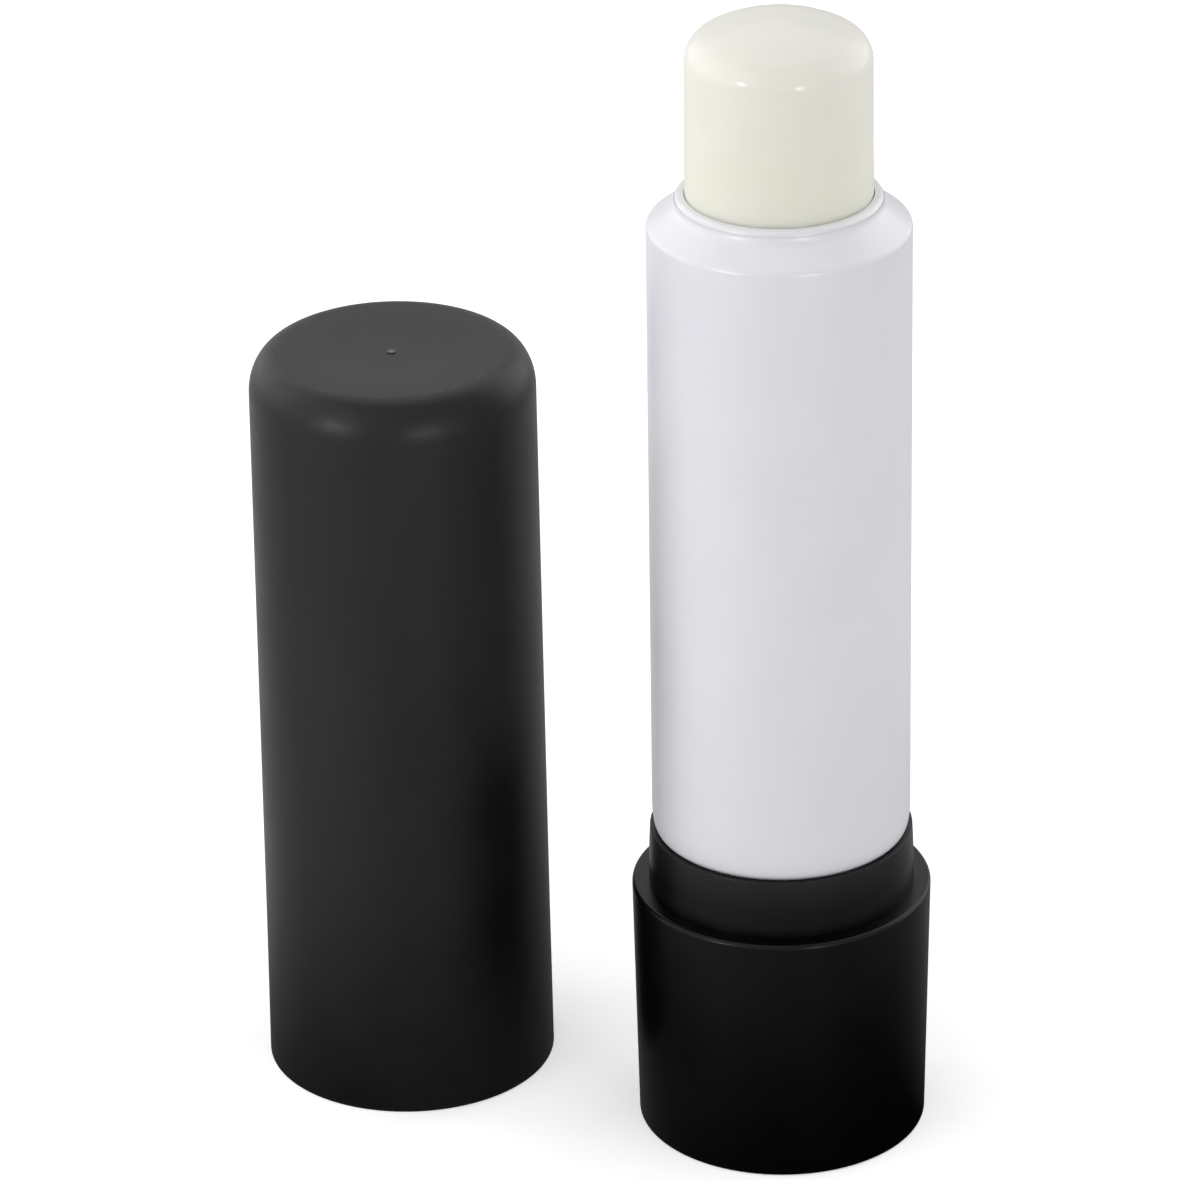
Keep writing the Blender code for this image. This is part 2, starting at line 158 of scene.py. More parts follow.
# Shell
SHELL_EDGE = 65.0 * MM
SHELL_TAPER = 0.045 * MM
SHELL_EDGE_ROUND = 0.45 * MM
SHELL_FOOT_WIDTH = 0.30 * MM
SHELL_FOOT_RISE = 1.7 * MM
SHELL_BORE = 7.70 * MM
SKIRT_RADIUS = 8.15 * MM
SHELL_ROOF = 64.6 * MM
SHELL_MOUTH_BORE = 6.72 * MM
SHELL_MOUTH = 66.37 * MM
SHELL_LIP_WALL = 0.03 * MM
SHELL_LIP_RISE = 0.40 * MM
SHELL_LIP_ROUND = 0.75 * MM
SHELL_FOOT_GAP = 0.1 * MM

# Inner tube
TUBE_BORE = 6.11 * MM
TUBE_RIM_ROUND = 0.34 * MM
SLOT_HALF_WIDTH = 1.0 * MM
SLOT_FOOT = 24.15 * MM
SLOT_TOP = 58.5 * MM

# Balm
BALM_TIP_TAPER = 0.07 * MM
BALM_TAPER_POWER = 3
BALM_CROWN_RISE = 1.88 * MM
BALM_EDGE_ROUND = 2.05 * MM
BALM_STUB = 5.54 * MM
BALM_STUB_TOP = 44.65 * MM
BALM_SIDE_STEPS = 48
BALM_WAVE = 0.012 * MM
BALM_WAVE_SIZE = 3.5 * MM

# Cap
CAP_MOUTH_WALL = 0.87 * MM
CAP_FLARE_HEIGHT = 10.5 * MM
CAP_FLARE = 0.09 * MM
CAP_TAPER = 0.21 * MM
CAP_INSIDE = 50.24 * MM
CAP_INNER_RADIUS = 8.70 * MM
CAP_INNER_ROUND = 0.9 * MM
CAP_MOUTH_ROUND = 0.12 * MM
CAP_CORNER_WIDTH = 2.16 * MM
CAP_CORNER_RISE = 2.9 * MM
CAP_DISH = 0.32 * MM
CAP_DISH_FLAT = 1.2 * MM
CAP_DISH_EASE = 0.12
GATE_RADIUS = 0.30 * MM
GATE_HEIGHT = 0.06 * MM
GRIP_RIBS = 6
GRIP_RIB_WIDTH = 0.8 * MM
GRIP_RIB_STAND = 0.14 * MM
GRIP_RIB_FOOT = 0.6 * MM
GRIP_RIB_TOP = 5.1 * MM
GRIP_RIB_EASE = 0.25 * MM

# How much fine detail a noise has
DETAIL_LOW = 1.0
DETAIL = 2.0
DETAIL_HIGH = 3.0

# Moulded plastic: the sizes of its clouds, grain, upright and level scratches, worn patches and scuffs
CLOUD_SIZE = 7 * MM
GRAIN_SIZE = 0.22 * MM
UPRIGHT_SCRATCH = (0.11 * MM, 0.11 * MM, 4.5 * MM)
LEVEL_SCRATCH = (2.6 * MM, 2.6 * MM, 0.12 * MM)
PATCH_SIZE = 5 * MM
SCUFF_SIZE = 0.6 * MM

# Its pits, the share of a pit's radius that is full depth, and a scratch's depth as a share of the grain's
PIT_RADIUS = 0.09 * MM
PIT_DEPTH = 0.03 * MM
PIT_FLOOR_SHARE = 0.4
SCRATCH_DEPTH_SHARE = 0.4

# The levels of noise between which each of these comes in
CLOUD_LEVELS = (0.35, 0.65)
PATCH_LEVELS = (0.5, 0.72)
UPRIGHT_SCRATCH_LEVELS = (0.66, 0.74)
LEVEL_SCRATCH_LEVELS = (0.68, 0.76)
SCUFF_LEVELS = (0.44, 0.66)

# What clouds, grain and scratches add to the roughness, the first two between the given levels of noise
ROUGH_LEVELS = (0.3, 0.7)
ROUGH_CLOUDS = (-0.02, 0.03)
ROUGH_GRAIN = (-0.015, 0.015)
ROUGH_SCRATCHES = 0.08

# The plastics: dark and light colour, roughness and depth of grain, and on some the strength of the
# scratches, the colour of the scuffs and the spacing of the pits, and then the shader's plain values
BLACK = {"dark": (0.0008, 0.0008, 0.0009), "light": (0.0013, 0.0013, 0.0014), "roughness": 0.30,
         "grain": 0.0014 * MM, "scratches": 0.35, "scuff": (0.0025, 0.0025, 0.0025), "pits": 4.2 * MM}
BLACK_SHINE = {"Specular_IOR_Level": 0.15}
CHARCOAL = {"dark": (0.0040, 0.0040, 0.0041), "light": (0.0056, 0.0056, 0.0057), "roughness": 0.41,
            "grain": 0.0026 * MM, "scratches": 0.30, "scuff": (0.014, 0.014, 0.014), "pits": 4.6 * MM}
CHARCOAL_SHINE = {"Specular_IOR_Level": 0.24}
SHELL_WHITE = {"dark": (0.740, 0.745, 0.790), "light": (0.755, 0.760, 0.802)}
TUBE_WHITE = {"dark": (0.750, 0.755, 0.780), "light": (0.765, 0.770, 0.792)}
WHITE_SKIN = {"roughness": 0.34, "grain": 0.0018 * MM, "pits": 6.5 * MM}
WHITE_SHINE = {"Coat_Weight": 0.5, "Coat_Roughness": 0.32}
NATURAL = {"dark": (0.68, 0.68, 0.65), "light": (0.76, 0.76, 0.74), "roughness": 0.45, "grain": 0.003 * MM}
NATURAL_DEPTH = {"Subsurface_Weight": 0.3, "Subsurface_Radius": (1.0, 1.0, 0.9),
                 "Subsurface_Scale": 0.9 * MM}
RUBBER = {"dark": (0.30, 0.31, 0.32), "light": (0.38, 0.39, 0.40), "roughness": 0.66, "grain": 0.006 * MM,
          "pits": 1.2 * MM}

# How far the scuffs reach from each edge, and the gate's pale spot: sheared plastic with a painted
# highlight
LEDGE_SCUFF = 0.18 * MM
FOOT_SCUFF = 0.35 * MM
NECK_SCUFF = 0.15 * MM
MOUTH_SCUFF = 0.4 * MM
CREST_SCUFF = 0.7 * MM
GATE_RING = 0.40 * MM
GATE_PALE_AND_HIGHLIGHT = (0.17, 0.17, 0.17)

# The neck's skin is painted lighter, partly rubbed dull by the cap and partly a painted reflection: all of
# it a little, and most of all near its lip
NECK_RUB_AND_REFLECTION_STARTS = (17.70 * MM, 17.90 * MM)
NECK_RUB_AND_REFLECTION_GROWS = (19.0 * MM, 21.9 * MM)
NECK_RUB_AND_REFLECTION_LEAST = 0.25
NECK_RUB_AND_REFLECTION = (0.011, 0.011, 0.011)

# Balm: its colours, and the heights between which it turns yellow and a little darker towards the tube
# (the wax's own tone, with painted shade where the tube's mouth shades it) and its dome is painted darker
# as painted shade
BALM_CREAM = (0.846, 0.832, 0.756)
BALM_YELLOW_AND_SHADE = (0.832, 0.825, 0.715)
BALM_DOME_SHADE = (0.815, 0.805, 0.745)
BALM_WARM = (0.840, 0.808, 0.730)
BALM_PALE = (0.868, 0.855, 0.782)
BALM_YELLOW_AND_SHADE_HEIGHTS = (73.5 * MM, 68.0 * MM)
BALM_DOME_SHADE_HEIGHTS = (75.0 * MM, 77.5 * MM)

# Its drift of yellow, warm patches and pale grains: sizes, then levels of noise and what they give
DRIFT_SIZE = 4 * MM
DRIFT = (0.35, 0.65, -0.3, 0.3)
WARM_SIZE = 3.0 * MM
WARM = (0.40, 0.64, 0.0, 0.5)
WAX_GRAIN_SIZE = 0.20 * MM
WAX_GRAIN_PALE = (0.60, 0.72, 0.0, 0.15)
WAX_GRAIN_ROUGH = (0.3, 0.7, -0.02, 0.02)
WAX_ROUGH_SIZE = 1.6 * MM
WAX_ROUGH = (0.3, 0.7, 0.40, 0.50)

# Its ripples, grain and pits in relief, and its shine and depth
RIPPLE_SIZE = 1.1 * MM
RIPPLE_HEIGHT = 0.0018 * MM
WAX_GRAIN_HEIGHT = 0.00015 * MM
WAX_PIT_SPACING = 2.4 * MM
WAX_PIT_RADIUS = 0.05 * MM
WAX_PIT_DEPTH = 0.006 * MM
WAX_SHINE = {"IOR": 1.40, "Specular_IOR_Level": 0.2, "Coat_Weight": 0.5, "Coat_Roughness": 0.16,
             "Coat_IOR": 1.40}
WAX_DEPTH = {"Subsurface_Weight": 0.8, "Subsurface_Radius": (1.0, 0.95, 0.8), "Subsurface_Scale": 1.6 * MM}


def rounded(outline, steps=ARC_STEPS):
    """The (radius, height) points of an outline of (radius, height, round), with an arc at each round."""
    points = []
    last = len(outline) - 1
    for index, (radius, height, size) in enumerate(outline):
        if index in (0, last) or not size:
            points.append((radius, height))
            continue
        before = outline[index - 1]
        after = outline[index + 1]
        back = math.atan2(before[1] - height, before[0] - radius)
        ahead = math.atan2(after[1] - height, after[0] - radius)
        opening = (ahead - back + math.pi) % math.tau - math.pi
        half = opening / 2
        reach = size / abs(math.tan(half))
        middle = size / abs(math.sin(half))
        centre_radius = radius + middle * math.cos(back + half)
        centre_height = height + middle * math.sin(back + half)
        start_radius = radius + reach * math.cos(back)
        start_height = height + reach * math.sin(back)
        start = math.atan2(start_height - centre_height, start_radius - centre_radius)
        turn = -math.copysign(math.pi - abs(opening), opening)
        for step in range(steps + 1):
            angle = start + turn * step / steps
            points.append((centre_radius + size * math.cos(angle), centre_height + size * math.sin(angle)))
    return points


def turned(name, profile, material, closed=False, centre=(0.0, 0.0), relief=None):
    """A smooth solid of revolution about the upright axis through the centre.

    Relief takes a point about the axis, and gives how far the surface stands out there.
    """
    builder = bmesh.new()
    verts = [builder.verts.new((radius, 0.0, height)) for radius, height in profile]
    pairs = list(zip(verts, verts[1:]))
    if closed:
        pairs.append((verts[-1], verts[0]))
    edges = [builder.edges.new(pair) for pair in pairs]
    bmesh.ops.spin(
        builder,
        geom=verts + edges,
        cent=(0.0, 0.0, 0.0),
        axis=(0.0, 0.0, 1.0),
        angle=math.tau,
        steps=FACETS,
        use_merge=True,
    )
    bmesh.ops.remove_doubles(builder, verts=builder.verts, dist=MERGE_DISTANCE)
    bmesh.ops.recalc_face_normals(builder, faces=builder.faces)
    if relief:
        builder.normal_update()
        moves = [(vert, vert.normal * relief(vert.co)) for vert in builder.verts]
        for vert, move in moves:
            vert.co += move
    bmesh.ops.translate(builder, verts=builder.verts, vec=(*centre, 0.0))
    mesh = bpy.data.meshes.new(name)
    builder.to_mesh(mesh)
    builder.free()
    piece = bpy.data.objects.new(name, mesh)
    bpy.context.scene.collection.objects.link(piece)
    finish_mesh(mesh, material)
    return piece


def finish_mesh(mesh, material):
    mesh.shade_smooth()
    mesh.set_sharp_from_angle(angle=SHARP_ANGLE)
    mesh.materials.clear()
    mesh.materials.append(material)


def cut_box(piece, low, high, material):
    """Cuts the box between two corners out of a piece."""
    builder = bmesh.new()
    bmesh.ops.create_cube(builder, size=1.0)
    for vert in builder.verts:
        for axis in range(3):
            vert.co[axis] = low[axis] if vert.co[axis] < 0 else high[axis]
    mesh = bpy.data.meshes.new("cutter")
    builder.to_mesh(mesh)
    builder.free()
    cutter = bpy.data.objects.new("cutter", mesh)
    bpy.context.scene.collection.objects.link(cutter)
    modifier = piece.modifiers.new("cut", "BOOLEAN")
    modifier.operation = "DIFFERENCE"
    modifier.solver = "EXACT"
    modifier.object = cutter
    graph = bpy.context.evaluated_depsgraph_get()
    cut_mesh = bpy.data.meshes.new_from_object(piece.evaluated_get(graph))
    piece.modifiers.clear()
    piece.data = cut_mesh
    finish_mesh(cut_mesh, material)
    bpy.data.objects.remove(cutter)


def ride(piece, body, node):
    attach(piece, body)
    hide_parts(node)


class Nodes:
    """A node tree with its coordinates, and short calls for the nodes that the looks use."""

    def __init__(self, tree, coordinates):
        self.tree = tree
        self.place = tree.nodes.new("ShaderNodeTexCoord").outputs[coordinates]

    def feed(self, socket, value):
        """Links a socket to an output, or sets it to a plain value."""
        if isinstance(value, bpy.types.NodeSocket):
            self.tree.links.new(value, socket)
        else:
            socket.default_value = value

    def math(self, operation, *values):
        node = self.tree.nodes.new("ShaderNodeMath")
        node.operation = operation
        for socket, value in zip(node.inputs, values):
            self.feed(socket, value)
        return node.outputs[0]

    def place_math(self, operation, vector, output="Value"):
        """Vector arithmetic between the place and a plain vector."""
        node = self.tree.nodes.new("ShaderNodeVectorMath")
        node.operation = operation
        self.feed(node.inputs[0], self.place)
        node.inputs[1].default_value = vector
        return node.outputs[output]

    def noise(self, place, scale, detail):
        node = self.tree.nodes.new("ShaderNodeTexNoise")
        self.feed(node.inputs["Vector"], place)
        node.inputs["Scale"].default_value = scale
        node.inputs["Detail"].default_value = detail
        return node.outputs["Fac"]

    def clouds(self, size, detail=DETAIL):
        """Noise from 0 to 1 with features of about the given size."""
        return self.noise(self.place, 1.0 / size, detail)

    def streaks(self, sizes):
        """Noise from 0 to 1 with features of the given sizes along each axis."""
        return self.noise(self.place_math("DIVIDE", sizes, "Vector"), 1.0, DETAIL)

    def specks(self, spacing, radius):
        """1 at sparse round spots of the given radius, and 0 between them."""
        node = self.tree.nodes.new("ShaderNodeTexVoronoi")
        self.feed(node.inputs["Vector"], self.place)
        node.inputs["Scale"].default_value = 1.0 / spacing
        return self.span(node.outputs["Distance"], radius / spacing, PIT_FLOOR_SHARE * radius / spacing)

    def span(self, value, low, high, to_low=0.0, to_high=1.0, easing="SMOOTHSTEP"):
        """Maps a value from one range to another, held at the ends."""
        node = self.tree.nodes.new("ShaderNodeMapRange")
        node.interpolation_type = easing
        self.feed(node.inputs["Value"], value)
        node.inputs["From Min"].default_value = low
        node.inputs["From Max"].default_value = high
        node.inputs["To Min"].default_value = to_low
        node.inputs["To Max"].default_value = to_high
        return node.outputs["Result"]

    def mix(self, share, first, second):
        """A colour between two, each a colour or an output."""
        node = self.tree.nodes.new("ShaderNodeMix")
        node.data_type = "RGBA"
        self.feed(node.inputs["Factor"], share)
        self.feed(node.inputs["A"], (*first, 1.0) if isinstance(first, tuple) else first)
        self.feed(node.inputs["B"], (*second, 1.0) if isinstance(second, tuple) else second)
        return node.outputs["Result"]

    def near_ring(self, centre, radius, height, width):
        """1 on a circle about an upright axis, falling to 0 at the given distance from it."""
        across = self.math("SUBTRACT", self.part(0), centre[0])
        deep = self.math("SUBTRACT", self.part(1), centre[1])
        out = self.math("SUBTRACT", self.length(across, deep), radius)
        rise = self.math("SUBTRACT", self.part(2), height)
        return self.span(self.length(out, rise), width, 0.0)

    def length(self, first, second):
        squares = (self.math("POWER", first, 2.0), self.math("POWER", second, 2.0))
        return self.math("SQRT", self.math("ADD", *squares))

    def part(self, axis):
        """One coordinate of the place."""
        parts = self.tree.nodes.new("ShaderNodeSeparateXYZ")
        self.feed(parts.inputs[0], self.place)
        return parts.outputs[axis]

    def bump(self, height, distance, below=None):
        """A normal from a height of 0 to 1 that stands for the given distance."""
        node = self.tree.nodes.new("ShaderNodeBump")
        node.inputs["Strength"].default_value = 1.0
        node.inputs["Distance"].default_value = distance
        self.feed(node.inputs["Height"], height)
        if below:
            self.feed(node.inputs["Normal"], below)
        return node.outputs["Normal"]

    def dent(self, share, depth, below):
        """A normal with dents of the given depth where the share is 1."""
        return self.bump(self.math("SUBTRACT", 1.0, share), depth, below)

    def glow(self, strength):
        """A white light's shader output."""
        node = self.tree.nodes.new("ShaderNodeEmission")
        self.feed(node.inputs["Strength"], strength)
        return node.outputs[0]

    def seen_rays(self):
        """1 for the rays that show the backdrop straight or through glass, and 1 for the mirrored rays."""
        path = self.tree.nodes.new("ShaderNodeLightPath")
        seen = self.math("MAXIMUM", path.outputs["Is Camera Ray"], path.outputs["Is Transmission Ray"])
        return seen, path.outputs["Is Glossy Ray"]


class Surface(Nodes):
    """One material, with its shader and the place on the piece."""

    def __init__(self, name):
        self.material = bpy.data.materials.new(name)
        self.material.use_nodes = True
        super().__init__(self.material.node_tree, "Object")
        self.shader = self.tree.nodes["Principled BSDF"]

    def set(self, **values):
        """Feeds the shader's sockets, named with _ for each space."""
        for name, value in values.items():
            self.feed(self.shader.inputs[name.replace("_", " ")], value)

    def tint(self, share, colour):
        """Mixes a share of a colour over the shader's own."""
        plain = self.shader.inputs["Base Color"].links[0].from_socket
        self.set(Base_Color=self.mix(share, plain, colour))


def moulded(name, dark, light, roughness, grain, scratches=0.0, edges=(), scuff=None, pits=0.0):
    """Moulded plastic: clouded colour, fine grain, faint scratches, scuffed edges and a few pits."""
    surface = Surface(name)
    cloud = surface.clouds(CLOUD_SIZE, DETAIL_HIGH)
    colour = surface.mix(surface.span(cloud, *CLOUD_LEVELS), dark, light)
    fine = surface.clouds(GRAIN_SIZE, DETAIL_HIGH)
    upright = surface.span(surface.streaks(UPRIGHT_SCRATCH), *UPRIGHT_SCRATCH_LEVELS)
    level = surface.span(surface.streaks(LEVEL_SCRATCH), *LEVEL_SCRATCH_LEVELS)
    patches = surface.span(surface.clouds(PATCH_SIZE, DETAIL_LOW), *PATCH_LEVELS)
    lines = surface.math("MULTIPLY", surface.math("MAXIMUM", upright, level), patches)
    if scuff:
        worn = surface.math("MULTIPLY", lines, scratches)
        for centre, radius, height, width in edges:
            edge = surface.near_ring(centre, radius, height, width)
            broken = surface.span(surface.clouds(SCUFF_SIZE, DETAIL_HIGH), *SCUFF_LEVELS)
            worn = surface.math("MAXIMUM", worn, surface.math("MULTIPLY", edge, broken))
        colour = surface.mix(worn, colour, scuff)
    clouded = surface.span(cloud, *ROUGH_LEVELS, *(roughness + change for change in ROUGH_CLOUDS))
    rough = surface.math("ADD", clouded, surface.span(fine, *ROUGH_LEVELS, *ROUGH_GRAIN))
    rough = surface.math("ADD", rough, surface.math("MULTIPLY", lines, ROUGH_SCRATCHES))
    normal = surface.dent(lines, SCRATCH_DEPTH_SHARE * grain, surface.bump(fine, grain))
    if pits:
        spots = surface.specks(pits, PIT_RADIUS)
        colour = surface.mix(spots, colour, dark)
        normal = surface.dent(spots, PIT_DEPTH, normal)
    surface.set(Base_Color=colour, Roughness=rough, Normal=normal)
    return surface


def black_plastic():
    """Gloss-black base plastic, rubbed dull along its edges, its neck painted lighter towards the lip:
    partly rubbed by the cap, partly a painted reflection.
    """
    axis = (0.0, 0.0)
    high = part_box("base")[1]
    edges = (
        (axis, high.x, BASE_HEIGHT, LEDGE_SCUFF),
        (axis, high.x - BASE_FOOT_INSET, 0.0, FOOT_SCUFF),
        (axis, NECK_RADIUS, high.z, NECK_SCUFF),
    )
    surface = moulded("black_plastic", edges=edges, **BLACK)
    # The neck is painted lighter towards its lip: partly rubbing by the cap, partly a painted reflection
    on_neck = surface.span(surface.part(2), *NECK_RUB_AND_REFLECTION_STARTS)
    rub_and_reflection = surface.span(surface.part(2), *NECK_RUB_AND_REFLECTION_GROWS, NECK_RUB_AND_REFLECTION_LEAST, 1.0)
    surface.tint(surface.math("MULTIPLY", on_neck, rub_and_reflection), NECK_RUB_AND_REFLECTION)
    surface.set(**BLACK_SHINE)
    return surface.material


def charcoal_plastic(centre):
    """Satin charcoal cap plastic, with a pale gate spot (sheared plastic and a painted highlight) and
    scuffs at the mouth.
    """
    low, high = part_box("cap")
    radius = (high.x - low.x) / 2
    edges = (
        (centre, radius, 0.0, MOUTH_SCUFF),
        (centre, radius - CAP_CORNER_WIDTH, high.z, CREST_SCUFF),
    )
    surface = moulded("charcoal_plastic", edges=edges, **CHARCOAL)
    # The gate's pale spot: sheared plastic, and a painted highlight of the nub's faces
    surface.tint(surface.near_ring(centre, 0.0, high.z - CAP_DISH, GATE_RING), GATE_PALE_AND_HIGHLIGHT)
    surface.set(**CHARCOAL_SHINE)
    return surface.material


def white_plastic(name, tint):
    """Opaque white polypropylene with a satin skin."""
    surface = moulded(name, **tint, **WHITE_SKIN)
    surface.set(**WHITE_SHINE)
    return surface.material


def natural_plastic():
    """Undyed plastic of the hidden drive, milky, with a fine grain and faint lines."""
    surface = moulded("natural_plastic", **NATURAL)
    surface.set(**NATURAL_DEPTH)
    return surface.material


def ring_rubber():
    """Soft grey rubber with a dusty, fine-pored skin."""
    return moulded("ring_rubber", **RUBBER).material


def balm_wax():
    """Cream wax: mottled, translucent, yellower towards the tube with painted shade there, its dome
    painted darker as painted shade, with a soft sheen and small pits.
    """
    surface = Surface("balm_wax")
    # Yellower and a little darker towards the tube: the wax's tone, with painted shade from the tube's
    # mouth
    yellow_and_shade = surface.span(surface.part(2), *BALM_YELLOW_AND_SHADE_HEIGHTS)
    drift = surface.span(surface.clouds(DRIFT_SIZE), *DRIFT)
    clamp = surface.tree.nodes.new("ShaderNodeClamp")
    surface.feed(clamp.inputs["Value"], surface.math("ADD", yellow_and_shade, drift))
    colour = surface.mix(clamp.outputs[0], BALM_CREAM, BALM_YELLOW_AND_SHADE)
    # The dome is painted darker: painted shade
    colour = surface.mix(surface.span(surface.part(2), *BALM_DOME_SHADE_HEIGHTS), colour, BALM_DOME_SHADE)
    colour = surface.mix(surface.span(surface.clouds(WARM_SIZE), *WARM), colour, BALM_WARM)
    grains = surface.clouds(WAX_GRAIN_SIZE)
    colour = surface.mix(surface.span(grains, *WAX_GRAIN_PALE), colour, BALM_PALE)
    rough = surface.math("ADD", surface.span(surface.clouds(WAX_ROUGH_SIZE, DETAIL_HIGH), *WAX_ROUGH),
                         surface.span(grains, *WAX_GRAIN_ROUGH))
    normal = surface.bump(surface.clouds(RIPPLE_SIZE, DETAIL_LOW), RIPPLE_HEIGHT)
    normal = surface.bump(grains, WAX_GRAIN_HEIGHT, normal)
    normal = surface.dent(surface.specks(WAX_PIT_SPACING, WAX_PIT_RADIUS), WAX_PIT_DEPTH, normal)
    surface.set(Base_Color=colour, Roughness=rough, Normal=normal, **WAX_SHINE, **WAX_DEPTH)
    return surface.material


def base_piece(material):
    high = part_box("base")[1]
    radius, top = high.x, high.z
    groove_radius = NECK_BORE + BEAD_STAND
    outline = [
        (0.0, BASE_DIMPLE_DEPTH - GATE_HEIGHT, 0),
        (GATE_RADIUS, BASE_DIMPLE_DEPTH - GATE_HEIGHT, 0),
        (GATE_RADIUS, BASE_DIMPLE_DEPTH, 0),
        (BASE_DIMPLE_RADIUS - BASE_DIMPLE_SLOPE, BASE_DIMPLE_DEPTH, 0),
        (BASE_DIMPLE_RADIUS, 0.0, 0),
        (radius - BASE_FOOT_INSET, 0.0, FOOT_ROUND),
        (radius, BASE_HEIGHT, BASE_EDGE_ROUND),
        (NECK_RADIUS, BASE_HEIGHT, 0),
    ]
    for step in range(NECK_LEAD_STEPS):
        share = step / NECK_LEAD_STEPS
        inset = NECK_LEAD * share**NECK_LEAD_POWER
        outline.append((NECK_RADIUS - inset, top - NECK_LEAD_HEIGHT * (1 - share), 0))
    profile = rounded(outline + [
        (NECK_RADIUS - NECK_LEAD, top, NECK_LIP_ROUND),
        (NECK_BORE, top, 0),
        (NECK_BORE, GROOVE_TOP, 0),
        (groove_radius, GROOVE_TOP, 0),
        (groove_radius, GROOVE_FOOT + BEAD_STAND, 0),
        (NECK_BORE, GROOVE_FOOT, 0),
        (NECK_BORE, BASE_FLOOR, 0),
        (BOSS_RADIUS, BASE_FLOOR, 0),
        (BOSS_RADIUS, BOSS_TOP, 0),
        (BOSS_BORE, BOSS_TOP, 0),
        (BOSS_BORE, BASE_FLOOR, 0),
        (0.0, BASE_FLOOR, 0),
    ])
    piece = turned("base_moulding", profile, material)
    ride(piece, "stick_base", "base")


def shell_piece(material):
    low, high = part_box("outer_shell")
    radius = high.x
    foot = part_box("base")[1].z + SHELL_FOOT_GAP
    bead_radius = SKIRT_RADIUS + BEAD_STAND
    lip_radius = SHELL_MOUTH_BORE + SHELL_LIP_WALL
    outline = [
        (SHELL_BORE, low.z, 0),
        (SKIRT_RADIUS, low.z, 0),
        (SKIRT_RADIUS, BEAD_FOOT, 0),
        (bead_radius, BEAD_FOOT + BEAD_STAND, 0),
        (bead_radius, BEAD_TOP, 0),
        (SKIRT_RADIUS, BEAD_TOP, 0),
        (SKIRT_RADIUS, foot, 0),
    ]
    for step in range(CROWN_STEPS + 1):
        angle = math.pi / 2 * step / CROWN_STEPS
        inset = SHELL_FOOT_WIDTH * (1 - math.sin(angle))
        outline.append((radius - inset, foot + SHELL_FOOT_RISE * (1 - math.cos(angle)), 0))
    outline += [
        (radius - SHELL_TAPER, SHELL_EDGE, SHELL_EDGE_ROUND),
        (lip_radius, SHELL_MOUTH, SHELL_LIP_ROUND),
        (lip_radius, SHELL_MOUTH + SHELL_LIP_RISE, 0),
        (SHELL_MOUTH_BORE, SHELL_MOUTH + SHELL_LIP_RISE, 0),
        (SHELL_MOUTH_BORE, SHELL_ROOF, 0),
        (SHELL_BORE, SHELL_ROOF, 0),
    ]
    piece = turned("shell_moulding", rounded(outline), material, closed=True)
    ride(piece, "shell", "outer_shell")


def tube_piece(material):
    low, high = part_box("inner_tube")
    radius = high.x
    profile = rounded([
        (TUBE_BORE, low.z, 0),
        (radius, low.z, 0),
        (radius, high.z, TUBE_RIM_ROUND),
        (TUBE_BORE, high.z, 0),
    ])
    piece = turned("tube_moulding", profile, material, closed=True)
    reach = radius + MM
    cut_box(piece, (-reach, -SLOT_HALF_WIDTH, SLOT_FOOT), (reach, SLOT_HALF_WIDTH, SLOT_TOP), material)
    ride(piece, "stick_base", "inner_tube")


def balm_piece(material):
    low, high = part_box("balm")
    radius, tip = high.x, high.z
    tip_radius = radius - BALM_TIP_TAPER
    crown_radius = (tip_radius**2 + BALM_CROWN_RISE**2) / (2 * BALM_CROWN_RISE)
    edge_centre = tip_radius - BALM_EDGE_ROUND
    crown_centre = tip - crown_radius
    slope = math.asin(edge_centre / (crown_radius - BALM_EDGE_ROUND))
    edge_height = crown_centre + (crown_radius - BALM_EDGE_ROUND) * math.cos(slope)
    profile = [(0.0, low.z), (BALM_STUB, low.z), (BALM_STUB, BALM_STUB_TOP)]
    for step in range(BALM_SIDE_STEPS):
        share = step / BALM_SIDE_STEPS
        height = BALM_STUB_TOP + (edge_height - BALM_STUB_TOP) * share
        profile.append((radius - BALM_TIP_TAPER * share**BALM_TAPER_POWER, height))
    for step in range(CROWN_STEPS + 1):
        angle = (math.pi / 2 - slope) * step / CROWN_STEPS
        reach = edge_centre + BALM_EDGE_ROUND * math.cos(angle)
        profile.append((reach, edge_height + BALM_EDGE_ROUND * math.sin(angle)))
    for step in range(1, CROWN_STEPS):
        angle = slope * (1 - step / CROWN_STEPS)
        profile.append((crown_radius * math.sin(angle), crown_centre + crown_radius * math.cos(angle)))
    profile.append((0.0, tip))

    def waves(place):
        """Shallow hollows, none of which stands out of the plain form."""
        return BALM_WAVE * (noise.noise(place / BALM_WAVE_SIZE) - 1)

    piece = turned("balm_bullet", profile, material, relief=waves)
    ride(piece, "carrier", "balm")


